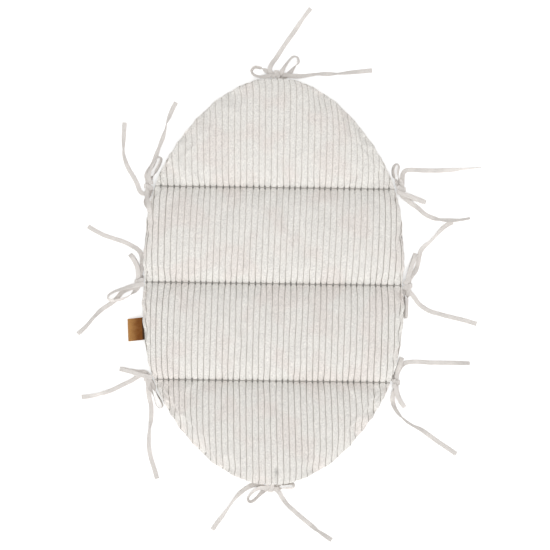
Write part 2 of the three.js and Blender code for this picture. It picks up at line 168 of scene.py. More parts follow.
# Linear colours
pile_colour = (0.875, 0.85, 0.808, 1)
blush_colour = (0.85, 0.802, 0.76, 1)
# The grooves' colour is painted shade
groove_shade_colour = (0.36, 0.335, 0.3, 1)
cotton_colour = (0.79, 0.75, 0.68, 1)
tape_colour = (0.9, 0.853, 0.812, 1)
wadding_colour = (0.86, 0.85, 0.83, 1)
# The thread's colour is darkened: painted shade in the channel creases
shaded_thread_colour = (0.45, 0.42, 0.38, 1)
leather_colour = (0.2, 0.062, 0.004, 1)
worn_colour = (0.49, 0.24, 0.072, 1)
floor_colour = (0.95, 0.95, 0.95, 1)
white = (1, 1, 1, 1)

# How far each surface rises and falls in its bump
pile_relief = 0.25 * mm
cotton_relief = 0.18 * mm
tape_relief = 0.15 * mm
wadding_relief = 0.8 * mm
thread_relief = 0.1 * mm
leather_relief = 0.12 * mm

# Painted shade in the grooves: reaches count in wales, and the painted shade grows at the sides
# from `side_from` on
groove_core = 0.02
groove_reach = 0.055
groove_raggedness = 0.05
crease_reach = 0.36
crease_widening = 0.19
crease_painted_shade = 0.9
channel_reach = 3.5
channel_strength = 0.3
ragged_strength = 0.9
least_strength = 0.2
head_strength = 0.68
foot_strength = 1.2
side_from = 165 * mm
side_strength = 0.6

# Floor and light: half the floor's side in metres, then a low soft light from the foot
# end and a weak one from above, each with its strength, spread, tilt and turn in degrees
floor_half = 3
floor_glow = 0.42
sky_strength = 0.7
suns = {"low": (1, 30, 73, -6), "high": (0.5, 40, 22, 12)}

# The camera looks straight down; distances in metres
camera_distance = 2.6
camera_aim = Vector((middle_x + 2.4 * mm, 11.1 * mm, 15 * mm))
camera_turn = math.radians(0.8)
view_width = 0.9482
sensor_width = 36

# How finely things are divided
sharp_from = math.radians(55)
tape_steps = 7
grid_rows = 28
grid_columns = 56
fine_rows = 56
inner_rows = 12
back_columns = 170
wale_steps = [0, 0.035, 0.07, 0.11, 0.18, 0.31, 0.5, 0.69, 0.82, 0.89, 0.93, 0.965]
edge_step = 0.7 * mm
edge_band = 16 * mm
nearest_columns = 0.12 * mm
outline_samples = 4001
width_samples = 401
stitch_sides = 6
crease_sides = 12
label_fold_steps = 12
label_bevel_steps = 3
tiny = 1e-12


def add_object(name, data):
    """Makes an object and puts it in the scene."""
    thing = bpy.data.objects.new(name, data)
    bpy.context.scene.collection.objects.link(thing)
    return thing


# Camera
camera = add_object("camera", bpy.data.cameras.new("camera"))
camera.data.sensor_width = sensor_width
camera.data.lens = sensor_width * camera_distance / view_width
camera.location = camera_aim + Vector((0, 0, camera_distance))
camera.rotation_euler = (0, 0, camera_turn)
bpy.context.scene.camera = camera


# Materials
class Recipe:
    """A node material that is put together from nodes; values are numbers or outputs."""

    def __init__(self, name):
        self.material = bpy.data.materials.new(name)
        self.material.use_nodes = True
        self.tree = self.material.node_tree
        self.shader = self.tree.nodes["Principled BSDF"]

    def fill(self, node, inputs):
        """Sets inputs of a node, by name or number, or joins them to other outputs."""
        for key, value in inputs.items():
            if isinstance(value, bpy.types.NodeSocket):
                self.tree.links.new(value, node.inputs[key])
            else:
                node.inputs[key].default_value = value

    def node(self, kind, *inputs, **settings):
        """Adds a node and fills the inputs that its settings leave, in order."""
        node = self.tree.nodes.new(kind)
        for key, value in settings.items():
            setattr(node, key, value)
        numbers = [number for number, socket in enumerate(node.inputs) if socket.enabled]
        self.fill(node, dict(zip(numbers, inputs)))
        return node

    def math(self, operation, *inputs):
        """A sum or another operation on numbers."""
        return self.node("ShaderNodeMath", *inputs, operation=operation).outputs[0]

    def scaled(self, value, factor, base):
        """The value times the factor, plus the base."""
        return self.math("MULTIPLY_ADD", value, factor, base)

    def vector(self, operation, *inputs, output=0):
        """An operation on vectors."""
        return self.node("ShaderNodeVectorMath", *inputs, operation=operation).outputs[output]

    def flat_map(self):
        """Places on the flat cloth."""
        return self.node("ShaderNodeUVMap", uv_map="flat").outputs[0]

    def own_place(self):
        """Places in the piece's own space."""
        return self.node("ShaderNodeTexCoord").outputs["Object"]

    def parts(self, vector):
        """The numbers that make up a vector."""
        return list(self.node("ShaderNodeSeparateXYZ", vector).outputs)

    def noise(self, vector, scale, detail=2, roughness=0.5, stretch=(1, 1)):
        """Grey noise between 0 and 1 at a scale per unit of the stretched vector."""
        node = self.node("ShaderNodeTexNoise", noise_dimensions="3D")
        vector = self.vector("MULTIPLY", vector, (*stretch, 1))
        self.fill(node, {"Vector": vector, "Scale": scale, "Detail": detail,
                         "Roughness": roughness})
        return node.outputs["Fac"]

    def cells(self, vector, scale, output, **settings):
        """Cells of a random pattern at a scale per unit of the vector."""
        node = self.node("ShaderNodeTexVoronoi", **settings)
        self.fill(node, {"Vector": vector, "Scale": scale})
        return node.outputs[output]

    def ramp(self, value, low, high, start, end, kind="SMOOTHSTEP"):
        """Runs from `start` where the value is `low` to `end` where it is `high`."""
        return self.node("ShaderNodeMapRange", value, low, high, start, end,
                         interpolation_type=kind).outputs[0]

    def tinted(self, colour, factor):
        """The colour multiplied by the factor."""
        if not isinstance(colour, bpy.types.NodeSocket):
            plain = self.node("ShaderNodeRGB").outputs[0]
            plain.default_value = colour
            colour = plain
        return self.vector("SCALE", colour, factor)

    def varied(self, colour, *layers):
        """The colour made lighter and darker by values between 0 and 1, each with its spread."""
        for value, spread in layers:
            colour = self.tinted(colour, self.scaled(value, spread, 1 - spread / 2))
        return colour

    def mixed(self, factor, first, second):
        """Blends from the first colour to the second."""
        node = self.node("ShaderNodeMix", data_type="RGBA")
        self.fill(node, {"Factor": factor, 6: first, 7: second})
        return node.outputs[2]

    def seam_nearness(self, place, reach):
        """1 at a channel, 0 from `reach` on; places along the cloth count in wales."""
        nearest = reach
        for seam in (head_seam, middle_seam, foot_seam):
            offset = self.math("SUBTRACT", place, seam / wale_pitch)
            nearest = self.math("MINIMUM", nearest, self.math("ABSOLUTE", offset))
        return self.ramp(nearest, 0, reach, 1, 0)

    def finished(self, colour, height, relief, roughness, sheen=0, shine=0.2):
        """Joins colour and bump to the shader, sets its surface and gives the material."""
        bump = self.node("ShaderNodeBump")
        self.fill(bump, {"Strength": 1, "Distance": relief, "Height": height})
        self.fill(self.shader, {
            "Base Color": colour, "Normal": bump.outputs[0], "Roughness": roughness,
            "Specular IOR Level": shine, "Sheen Weight": sheen, "Sheen Roughness": 0.6,
        })
        return self.material


def corduroy_material():
    """Cut pile in broad wales, with painted shade in its grooves; the flat map counts wales across
    and along the cloth.
    """
    nodes = Recipe("corduroy")
    flat = nodes.flat_map()
    across, along, _ = nodes.parts(flat)
    ragged = nodes.noise(flat, scale=3, detail=3, stretch=(3, 6))
    # Painted shade where the grooves meet a channel: the grooves widen and darken there
    crease = nodes.seam_nearness(along, crease_reach)
    reach = nodes.scaled(ragged, groove_raggedness, groove_reach)
    reach = nodes.scaled(crease, crease_widening, reach)
    groove = nodes.ramp(nodes.math("PINGPONG", across, 0.5), groove_core, reach, 1, 0)

    speckle = nodes.noise(flat, scale=34, roughness=0.7, stretch=(1, 0.8))
    grain = nodes.noise(flat, scale=5.2, roughness=0.8, stretch=(1, 0.8))
    streak = nodes.noise(flat, scale=4, roughness=0.6, stretch=(5, 0.45))
    patch = nodes.noise(flat, scale=1.1, detail=3, roughness=0.6, stretch=(1, 0.8))
    cloud = nodes.noise(flat, scale=0.16)
    tuft = nodes.parts(nodes.cells(flat, scale=10, output="Color"))[0]
    blush = nodes.ramp(cloud, low=0.46, high=0.62, start=0, end=1)
    pile = nodes.mixed(blush, pile_colour, blush_colour)
    pile = nodes.varied(pile, (speckle, 0.45), (grain, 0.25), (tuft, 0.32), (streak, 0.05),
                        (patch, 0.1), (cloud, 0.06))

    strength = nodes.scaled(ragged, ragged_strength, least_strength)
    # Painted groove shade, growing from the head channel towards the foot channel
    shade_towards_foot = nodes.ramp(along, head_seam / wale_pitch, foot_seam / wale_pitch, head_strength,
                      foot_strength, "LINEAR")
    strength = nodes.math("MULTIPLY", strength, shade_towards_foot)
    at_side = nodes.ramp(nodes.math("ABSOLUTE", across), side_from / wale_pitch,
                         foot_seam_half / wale_pitch, 0, side_strength, "LINEAR")
    strength = nodes.math("ADD", strength, at_side)
    # Painted shade: the grooves darken more near the channels
    gathered = nodes.seam_nearness(along, channel_reach)
    strength = nodes.scaled(gathered, channel_strength, strength)
    strength = nodes.math("ADD", strength, crease)
    amount = nodes.math("MULTIPLY", groove, nodes.math("MINIMUM", strength, 1))
    # The grooves' dark colour: painted shade in the grooves
    dark = nodes.varied(groove_shade_colour, (ragged, 0.4))
    dark = nodes.tinted(dark, nodes.scaled(crease, -crease_painted_shade, 1))
    colour = nodes.mixed(amount, pile, dark)

    # Painted shade in the pucker that the tie draws into the foot tip
    pucker = (pucker_place / wale_pitch, (foot_tip + pucker_rise) / wale_pitch, 0)
    size = (wale_pitch / pucker_width, wale_pitch / pucker_run, 1)
    offset = nodes.vector("MULTIPLY", nodes.vector("SUBTRACT", flat, pucker), size)
    far = nodes.vector("LENGTH", offset, output="Value")
    far = nodes.scaled(ragged, factor=0.5, base=far)
    pucker_shade = nodes.ramp(far, low=0.2, high=1.2, start=0.66, end=1)
    colour = nodes.tinted(colour, pucker_shade)
    tufts = nodes.scaled(streak, factor=0.6, base=speckle)
    height = nodes.math("SUBTRACT", tufts, groove)
    return nodes.finished(colour, height, pile_relief, roughness=0.96, sheen=0.15)


def woven_material(name, colour, threads, relief, mottle):
    """Plain weave; the flat map is in millimetres, with so many threads to each."""
    nodes = Recipe(name)
    flat = nodes.flat_map()
    wobble = nodes.noise(flat, scale=0.9)
    strands = []
    for place in nodes.parts(flat)[:2]:
        place = nodes.scaled(wobble, factor=0.35, base=place)
        strands.append(nodes.math("SINE", nodes.math("MULTIPLY", place, threads * math.pi)))
    weave = nodes.math("MULTIPLY", *strands)
    slub = nodes.noise(flat, scale=1.2, detail=3, stretch=(0.3, 2.2))
    patch = nodes.noise(flat, scale=0.05, roughness=0.6)
    colour = nodes.varied(colour, (weave, 0.07), (slub, 0.12), (patch, mottle))
    height = nodes.scaled(slub, factor=0.5, base=weave)
    return nodes.finished(colour, height, relief, roughness=0.9, sheen=0.1)


def wadding_material():
    """Loose white filling of crossing fibres."""
    nodes = Recipe("wadding")
    place = nodes.own_place()
    strands = nodes.noise(place, scale=300, detail=4, roughness=0.7, stretch=(1, 5))
    crossing = nodes.noise(place, scale=260, detail=4, roughness=0.7, stretch=(5, 1))
    height = nodes.math("ADD", strands, crossing)
    colour = nodes.varied(wadding_colour, (strands, 0.15))
    return nodes.finished(colour, height, wadding_relief, roughness=1, sheen=0.2)


def thread_material():
    """Twisted sewing thread, its own colour darkened as painted shade for the channel creases."""
    nodes = Recipe("thread")
    place = nodes.own_place()
    twist = nodes.noise(place, scale=1400, stretch=(2, 1))
    shade = nodes.noise(place, scale=160)
    colour = nodes.varied(shaded_thread_colour, (twist, 0.3), (shade, 0.2))
    return nodes.finished(colour, twist, thread_relief, roughness=0.75, sheen=0.1)


def leather_material():
    """Grained brown leather, worn lighter along its fold, with painted shade where it goes into the
    seam.
    """
    nodes = Recipe("label_leather")
    flat = nodes.flat_map()
    place = nodes.parts(flat)[0]
    wobble = nodes.noise(flat, scale=0.8, detail=3)
    cells = nodes.cells(flat, scale=1.6, output="Distance", feature="DISTANCE_TO_EDGE")
    pebble = nodes.ramp(cells, low=0, high=0.12, start=0, end=1)
    cloud = nodes.noise(flat, scale=0.16, detail=4, roughness=0.6, stretch=(0.5, 1))
    fibre = nodes.noise(flat, scale=1.1, detail=3, roughness=0.7, stretch=(0.4, 2.5))
    worn = nodes.ramp(place, -label_reach / mm, -label_worn_reach / mm, 1, 0)
    worn = nodes.math("ADD", nodes.scaled(cloud, factor=0.9, base=-0.42), worn)
    worn = nodes.node("ShaderNodeClamp", worn).outputs[0]
    # Painted shade where the label goes into the seam
    seam_shade = nodes.ramp(place, -label_shade_reach / mm, 0, start=1, end=0.2)
    colour = nodes.tinted(nodes.mixed(worn, leather_colour, worn_colour), seam_shade)
    colour = nodes.varied(colour, (wobble, 0.35), (fibre, 0.3), (pebble, 0.15))
    height = nodes.scaled(wobble, factor=0.4, base=pebble)
    return nodes.finished(colour, height, leather_relief, roughness=0.55, shine=0.25)


materials = {
    "corduroy": corduroy_material(),
    "backing_cotton": woven_material("backing_cotton", cotton_colour, threads=1.3,
                                     relief=cotton_relief, mottle=0.08),
    "tie_tape": woven_material("tie_tape", tape_colour, threads=1.6, relief=tape_relief,
                               mottle=0.3),
    "wadding": wadding_material(),
    "thread": thread_material(),
    "label_leather": leather_material(),
}


def add_mesh(name, points, faces, uv=None):
    """Makes an object from points and faces, with one map of flat places if given."""
    mesh = bpy.data.meshes.new(name)
    mesh.from_pydata([tuple(point) for point in points], [], faces)
    if uv is not None:
        layer = mesh.uv_layers.new(name="flat")
        corner_point = np.zeros(len(mesh.loops), dtype=np.int32)
        mesh.loops.foreach_get("vertex_index", corner_point)
        layer.data.foreach_set("uv", np.asarray(uv)[corner_point].ravel())
    mesh.polygons.foreach_set("use_smooth", [True] * len(mesh.polygons))
    mesh.update()
    mesh.set_sharp_from_angle(angle=sharp_from)
    return add_object(name, mesh)


def grid_faces(numbers, turned=False):
    """Faces between the points of a grid of point numbers."""
    a, b, c, d = numbers[:-1, :-1], numbers[1:, :-1], numbers[1:, 1:], numbers[:-1, 1:]
    order = (a, d, c, b) if turned else (a, b, c, d)
    return np.stack(order, axis=-1).reshape(-1, 4).tolist()


def ring_faces(rings, count):
    """Faces of an open tube of rings with so many points each, and the point numbers."""
    numbers = np.arange(rings * count).reshape(rings, count)
    return grid_faces(np.concatenate([numbers, numbers[:, :1]], axis=1), True), numbers


def tube_faces(rings, count):
    """Faces of a closed tube of rings with so many points each."""
    faces, numbers = ring_faces(rings, count)
    return [*faces, numbers[0, ::-1].tolist(), numbers[-1].tolist()]


def turned_all(faces, turned):
    """The faces, each the other way round if they are turned."""
    return [tuple(reversed(face)) for face in faces] if turned else faces


def declare(piece, body, node, slot):
    """Gives a piece its material, the body that it rides on and the solid it replaces."""
    piece.data.materials.append(materials[slot])
    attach(piece, body)
    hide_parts(node)


# Tie tapes
# Points chosen: along the edge, outward and up in millimetres, and the roll in
# degrees about the tape's own run. A number left out at the end is 0. A roll of None
# carries the tape round a tight turn.
stations = [{
    "name": "head_tip", "body": "head_section", "root": -8.6,
    "at": (0, head_tip + tip_knot_reach), "along": (1, 0), "outward": (0, 1),
    "first": {"flat": 180, "loop": [
        (-8, -2.8, 9.1), (-17, -4.8, 8, 20), (-30, -5, 5.4, 80), (-40, -1, 5.2, 90),
        (-43, 5, 5.2, 90), (-38, 11, 5.2, 90), (-28, 10, 5.2, 90), (-20, 6.6, 3.6, 150),
        (-12, 1.8, 3.9, 180),
    ], "tail": [
        (14, -1.4, 4.3), (24, -2.6, 4.3), (36, -3, 2.4), (50, -2, 0, -30), (71, 1, 0, -50),
        (88, 1.5, 0, -10), (106, 2, 0, -60), (131, 5, 0, -20), (166, 9),
    ]},
    "second": {"flat": 0, "loop": [
        (6, -6, 2.6, 180), (14, -4.5, 1.6, 180), (23, 2.5, 1.4, 180), (31, 12, 4, 130),
        (38, 21, 5.2, 90), (36, 29, 5.2, 90), (29, 30.5, 5.2, 90), (20, 21.5, 5.2, 90),
        (13, 11, 5.6, 50), (8.5, 3, 5.8, 4),
    ], "tail": [
        (-10, 2.5, 5.6), (-11.5, 9, 4.6), (-8, 18, 2.4), (-1, 28), (14, 51, 0, 30), (31, 76),
        (45, 97, 0, 50), (58, 115, 0, 20),
    ]},
}, {
    "name": "head_left", "body": "back_section", "root": -10,
    "at": (-head_seam_half - head_knot_reach, head_seam), "along": (0, -1), "outward": (-1, 0),
    "first": {"flat": 180, "loop": [
        (-9, -3.5, 9.2), (-18, -1.5, 8.4, 15), (-29, -5, 7, 75), (-42, -11, 6.8, 90),
        (-50, -17, 6.8, 90), (-48, -22.5, 6.8, 90), (-38, -20, 6.8, 90), (-27, -14.5, 6.6, 90),
        (-18, -9.8, 5.6, 115), (-11, -4, 4, 175),
    ], "tail": [
        (11, 1.6, 4.2), (13.5, 7.5, 3.4), (9, 13.5, 2.2), (-3, 18.5, 0.8), (-14, 24),
        (-32, 35, 0, -10), (-52, 42, 0, -50), (-64, 43, 0, -70), (-81, 43, 0, -30), (-110, 42),
    ]},
    "second": {"flat": 0, "loop": [
        (6, -5, 2.8, 180), (14, -2.5, 2.4, 180), (21, 1, 3.6, 180), (27, 2.5, 8.5, 180),
        (33, 0.5, 15.5, 180), (40, -4.5, 19.4, 180), (46, -5, 21.8, None), (41, -5, 24.2),
        (32, -3.5, 22.5), (23, -0.5, 16.5), (16, 0.5, 10.5), (11, 0.4, 6.8),
    ], "tail": [
        (-11, 0.8, 5.5), (-18, 2.4, 4.5), (-26, -0.5, 2.2), (-38, -8), (-52, -13),
        (-66, -18, 0, 40), (-82, -24, 0, 10), (-98, -29, 0, 60), (-108, -31, 0, 75),
        (-122, -36, 0, 20), (-137, -42), (-146, -47, 0, 10),
    ]},
}, {
    "name": "head_right", "body": "back_section", "root": -10,
    "at": (head_seam_half + head_knot_reach, head_seam), "along": (0, 1), "outward": (1, 0),
    "first": {"flat": 180, "loop": [
        (-7, -1, 9.2), (-11, 12, 8.6), (-16, 26, 8.2), (-20, 37, 7.8), (-22, 41.5, 4.6, None),
        (-20.5, 38, 1.2, 180), (-16, 25, 1.4, 180), (-13.5, 12, 2.8, 180), (-11.5, 4, 3.9, 180),
    ], "tail": [
        (11, 0.5, 4.2), (19, 0.8, 2.8), (27, 1.8, 0.8), (33, 6), (34.5, 14), (34, 35), (34, 61),
        (35, 85, 0, -30), (37, 105, 0, -70), (40, 136, 0, -85),
    ]},
    "second": {"flat": 180, "loop": [
        (6, -6, 2.8, 180), (13, -9.5, 3.6, 150), (22, -14, 6, 90), (31, -16, 6.4, 90),
        (40, -14, 6.4, 90), (44, -9.5, 6.4, 90), (40, -6, 6.4, 90), (30, -7.5, 6.2, 90),
        (20, -6.5, 5.9, 110), (12, -1.5, 5.7, 172),
    ], "tail": [
        (-11, 1, 5.5), (-17, 8, 4.9), (-24, 17, 3.2), (-31, 28), (-42, 41, 0, 10), (-48, 54),
        (-51, 66, 0, 50), (-52, 85, 0, 20), (-51, 102, 0, 55), (-48, 119, 0, 60),
    ]},
}, {
    "name": "middle_left", "body": "back_section", "root": -10,
    "at": (-middle_seam_half - middle_knot_reach, middle_seam), "along": (0, 1), "outward": (-1, 0),
    "first": {"flat": 180, "loop": [
        (-5.5, 1, 9), (-8, 12, 8, 20), (-12, 26, 6.8, 75), (-18, 42, 6.8, 90), (-25, 51.5, 6.8, 90),
        (-31, 51, 6.8, 90), (-33, 42, 6.8, 90), (-30.5, 28, 6.8, 90), (-23.5, 14, 6, 110),
        (-15.5, 5, 4.6, 155), (-9.5, 0.8, 4.25, 178),
    ], "tail": [
        (11, -2, 4.2), (19, -4.5, 3.9), (28, -6, 3.4), (38, -6, 3), (48, -4, 2), (56, 2, 0.7),
        (62, 12), (69, 27, 0, -10), (74, 43), (80, 61), (88, 77), (95, 89),
    ]},
    "second": {"flat": 0, "loop": [
        (6, -5.5, 2.8, 180), (13, -2.5, 1.6, 180), (24, 1, 1.2, 180), (35, 6, 1, 180),
        (44, 12, 1.4, 180), (47.5, 15, 4.6, None), (44, 12.2, 7.8), (35, 6.5, 8.2), (24, 1.5, 7.6),
        (13, 0.3, 6.2),
    ], "tail": [
        (-9, 2.2, 5.8), (-10, 8.5, 5.6), (-12.5, 17, 4), (-18.5, 28, 1.4), (-31, 38.5), (-38, 47),
        (-49, 63), (-61, 75, 0, 40), (-79, 90, 0, 30), (-92, 104),
    ]},
}, {
    "name": "middle_right", "body": "seat_section", "root": -10,
    "at": (middle_seam_half + middle_knot_reach, middle_seam), "along": (0, -1), "outward": (1, 0),
    "first": {"flat": 180, "loop": [
        (-8, -2.5, 9.2), (-18, -0.5, 8.8), (-36, 5, 8.4), (-50, 9.8, 8), (-55.5, 11.5, 4.8, None),
        (-50, 9.8, 1.4, 180), (-36, 5, 1.2, 180), (-18, 1, 2.8, 180), (-10.5, 0.2, 4, 180),
    ], "tail": [
        (10.5, 1.2, 4.2), (15, 5.5, 3.6), (22, 11.5, 1.8), (31, 18), (38, 27), (44, 38),
        (49, 56, 0, -10), (54, 76), (59, 98), (65, 119),
    ]},
    "second": {"flat": 180, "loop": [
        (6, -5.5, 2.8, 180), (12, -6.8, 3, 168), (20, -6.8, 4.9, 100), (40, -6.3, 5, 90),
        (54, -5.9, 5, 90), (56.5, -4.2, 5, 90), (54, -2.6, 5, 90), (40, -2.2, 5, 90),
        (24, -1.8, 5.4, 95), (16, -1.2, 5.7, 155), (10, -0.3, 5.5, 176),
    ], "tail": [
        (-11, 1.5, 5.5), (-18, 6, 4.5), (-26, 12, 2.4), (-36, 15.5), (-50, 18), (-60, 20.5),
        (-68, 26.5, 0, 10), (-76, 36, 0, 50), (-87, 46, 0, 50), (-102, 60), (-111, 75),
    ]},
}, {
    "name": "foot_left", "body": "seat_section", "root": -8,
    "at": (-foot_seam_half - foot_knot_reach, foot_seam), "along": (0, -1), "outward": (-1, 0),
    "first": {"flat": 180, "loop": [
        (-5, 2, 9.1), (-8.5, 17, 8.8), (-13, 31, 8.4), (-16, 44, 8), (-17, 49, 4.8, None),
        (-16, 44, 1.4, 180), (-13.5, 31, 1.2, 180), (-12, 17, 2.2, 180), (-12, 7, 3.6, 180),
        (-8.5, 1, 4.2, 180),
    ], "tail": [
        (12, -0.5, 4.2), (22, -1, 3), (34, -3, 1.2), (48, -6), (69, -6), (85, -4, 0, -55),
        (100, -3, 0, -30), (117, -3, 0, -20), (138, -7), (156, -13), (173, -18),
    ]},
    "second": {"flat": 180, "lean": 10, "loop": [
        (6, -6.5, 2.8, 180), (14, -10.3, 3.2, 165), (22, -14, 5, 100), (30, -18.5, 5.2, 90),
        (40, -24, 5.2, 90), (47, -26, 5.2, 90), (50.5, -20.5, 5.2, 90), (44, -14.5, 5.2, 90),
        (33, -11.5, 5.3, 90), (22, -7.2, 5.6, 110), (12, -1.6, 5.7, 174),
    ], "tail": [
        (-10.5, 1.8, 5.6), (-10, 9, 5.2), (-5, 16, 3.6), (3, 28), (12, 46), (21, 64),
        (28, 85, 0, 40), (32, 104), (33, 115),
    ]},
}, {
    "name": "foot_right", "body": "seat_section", "root": -8,
    "at": (foot_seam_half + foot_knot_reach, foot_seam), "along": (0, 1), "outward": (1, 0),
    "first": {"flat": 180, "loop": [
        (-8, -1.5, 9.2), (-18, 0.5, 8.8), (-30, 6, 8.4), (-39, 12, 8), (-42.5, 15, 4.8, None),
        (-39, 12, 1.4, 180), (-30, 6.5, 1.2, 180), (-18, 1.8, 2.8, 180), (-10.5, 0.3, 4, 180),
    ], "tail": [
        (12, 0.5, 4.3), (20, 3.2, 4), (28, 8, 3), (33.5, 15, 1.6), (35.5, 24), (36, 39), (35, 58),
        (35, 79), (35, 99), (35, 127, 0, 40),
    ]},
    "second": {"flat": 0, "loop": [
        (6, -5, 2.8, 180), (13, -1, 1.6, 180), (20, 2.2, 1.2, 180), (32, 6, 1, 180),
        (39.5, 8, 1.4, 180), (43, 9, 4.6, None), (39.5, 8, 7.8), (32, 6, 8.2), (20, 2, 7.4),
        (12, 0.3, 6.2),
    ], "tail": [
        (-11, -1.5, 5.5), (-18, -4.5, 4.9), (-27, -6, 2.6), (-36, -5), (-44, -2, 0, 30),
        (-52, 3, 0, 40), (-60, 10, 0, 70), (-67, 18, 0, 60), (-75, 31, 0, 60), (-81, 44, 0, 30),
        (-90, 57), (-102, 74), (-111, 88), (-123, 106),
    ]},
}, {
    "name": "foot_tip", "body": "foot_section", "root": -8.6,
    "at": (0, foot_tip - tip_knot_reach), "along": (1, 0), "outward": (0, -1),
    "first": {"flat": 0, "loop": [
        (-8, -2.6, 9.2), (-16, -2, 8.4, 15), (-26, 2, 7, 75), (-35, 10, 6.8, 90),
        (-39, 17, 6.8, 90), (-36.5, 22.5, 6.8, 90), (-30, 21, 6.8, 90), (-22, 13.5, 6.6, 90),
        (-17, 8.5, 5.4, 60), (-11, 2.8, 4.1, 4),
    ], "tail": [
        (10.5, 1.8, 4.2), (15.5, 7.5, 3.2), (21, 17, 1.2), (30, 28, 0, 30), (43, 40), (56, 51),
        (70, 62), (83, 72, 0, 60), (95, 80, 0, 30), (107, 88, 0, 10),
    ]},
    "second": {"flat": 180, "loop": [
        (6, -5.5, 2.8, 180), (13, -6.5, 3.4, 150), (22, -8.4, 5.4, 95), (31, -9.8, 5.6, 90),
        (38, -9, 5.6, 90), (40.5, -5, 5.6, 90), (37, -1.8, 5.6, 90), (28, -1.8, 5.6, 90),
        (19, -1, 5.7, 110), (11.5, -0.2, 5.6, 175),
    ], "tail": [
        (-10, -1.8, 5.7), (-17, -5, 4.8), (-27, -6.3, 1.6), (-37, -3), (-51, 7), (-63, 20, 0, 50),
        (-72, 33, 0, 60), (-83, 49, 0, 30), (-92, 61), (-100, 73),
    ]},
}]

# Such points for what all the bows share: in the seam, counted from the station's root,
# round the knot, and through it, flat with the roll that the station gives
root_points = {
    "first": [(-4.3, 0, 9.2), (-4.3, 1.7, 9.2)],
    "second": [(4.3, 0, 8.8), (4.3, 1.7, 8.6)],
}
wrap_points = {
    "first": [],
    "second": [
        (1.6, -3, 7.4), (0, 0.5, 6.9), (0, 4, 6.6), (0, 6.2, 4.8, None), (0, 4, 3.1, 180),
        (0, 0, 3, 180), (1.8, -4.2, 2.8, 180),
    ],
}
knot_points = {
    "first": [(-5.5, 0, 4.25), (0, 0, 4.25), (5.5, 0, 4.25)],
    "second": [(5.5, 0, 5.5), (0, 0, 5.5), (-5.5, 0, 5.5)],
}

# Section of a tape as shares of its width and thickness: flat faces and soft edges
tape_section = [
    (1, 0), (0.97, 0.7), (0.88, 1), (0.45, 1), (0, 1), (-0.45, 1), (-0.88, 1), (-0.97, 0.7),
    (-1, 0), (-0.97, -0.7), (-0.88, -1), (-0.45, -1), (0, -1), (0.45, -1), (0.88, -1),
    (0.97, -0.7),
]

# In degrees: the roll of a tape that stands on edge, how far from that it still leans,
# and how far a loop leans over, so that its flat side is seen from above
standing_roll = 90
lean_range = 60
loop_lean = 34


def whole(points):
    """The points with the numbers that they leave out."""
    return [(*point, 0, 0)[:4] for point in points]


def leaned(part):
    """The loop of a tape, leaned over where it stands."""
    result = []
    for x, y, z, roll in whole(part["loop"]):
        if roll is not None:
            standing = max(0, 1 - abs(roll - standing_roll) / lean_range)
            roll -= part.get("lean", loop_lean) * standing
        result.append((x, y, z, roll))
    return result


def route_of(station, order):
    """From the seam, round the knot for the second tape, through loop and knot to the tail."""
    part = station[order]
    flat = part["flat"]
    root = [(x, station["root"] + y, z, 0) for x, y, z in root_points[order]]
    knot = [(*point, flat) for point in knot_points[order]]
    tail = [(x, y, z, roll + flat) for x, y, z, roll in whole(part["tail"])]
    return [*root, *whole(wrap_points[order]), *leaned(part), *knot, *tail]


def width_directions(route):
    """Direction across the tape at each point of a route."""
    directions = []
    for index, (_, _, _, roll) in enumerate(route):
        if roll is None:
            directions.append(None)
            continue
        before = route[max(index - 1, 0)]
        after = route[min(index + 1, len(route) - 1)]
        ahead = Vector((after[0] - before[0], after[1] - before[1])).normalized()
        angle = math.radians(roll)
        level = math.cos(angle)
        directions.append(Vector((-ahead.y * level, ahead.x * level, math.sin(angle))))
    for index, direction in enumerate(directions):
        if direction is None:
            directions[index] = (directions[index - 1] + directions[index + 1]).normalized()
    return directions


def curve_through(points):
    """Places and headings along a smooth curve through the points, evenly many per leg."""
    ends = [2 * points[0] - points[1], *points, 2 * points[-1] - points[-2]]
    places, headings = [], []
    for leg in range(len(points) - 1):
        p0, p1, p2, p3 = ends[leg:leg + 4]
        d0, d1, d2 = (math.sqrt((b - a).length) for a, b in ((p0, p1), (p1, p2), (p2, p3)))
        t1 = ((p1 - p0) / d0 - (p2 - p0) / (d0 + d1) + (p2 - p1) / d1) * d1
        t2 = ((p2 - p1) / d1 - (p3 - p1) / (d1 + d2) + (p3 - p2) / d2) * d1
        c2 = 3 * (p2 - p1) - 2 * t1 - t2
        c3 = 2 * (p1 - p2) + t1 + t2
        last = leg == len(points) - 2
        for step in range(tape_steps + (1 if last else 0)):
            w = step / tape_steps
            places.append(p1 + t1 * w + c2 * w * w + c3 * w * w * w)
            headings.append((t1 + 2 * c2 * w + 3 * c3 * w * w).normalized())
    return places, headings


def across_curve(route, headings):
    """Direction across the tape at each place of its curve, square to its heading."""
    rolls = width_directions(route)
    across = []
    for step, ahead in enumerate(headings):
        leg = min(step // tape_steps, len(route) - 2)
        width = rolls[leg].lerp(rolls[leg + 1], step / tape_steps - leg)
        across.append((width - width.dot(ahead) * ahead).normalized())
    return across


def gathered_halves(places, across):
    """Half widths along a tape, which gathers where it turns in its own plane too tightly."""
    halves = [tape_width / 2] * len(places)
    for index in range(1, len(places)):
        run = places[index] - places[index - 1]
        turn = abs((across[index] - across[index - 1]).dot(run)) / run.length_squared
        widest = min(tape_width / 2, gathered_share / max(turn, gathered_share / tape_width))
        halves[index - 1] = min(halves[index - 1], widest)
        halves[index] = min(halves[index], widest)
    return halves


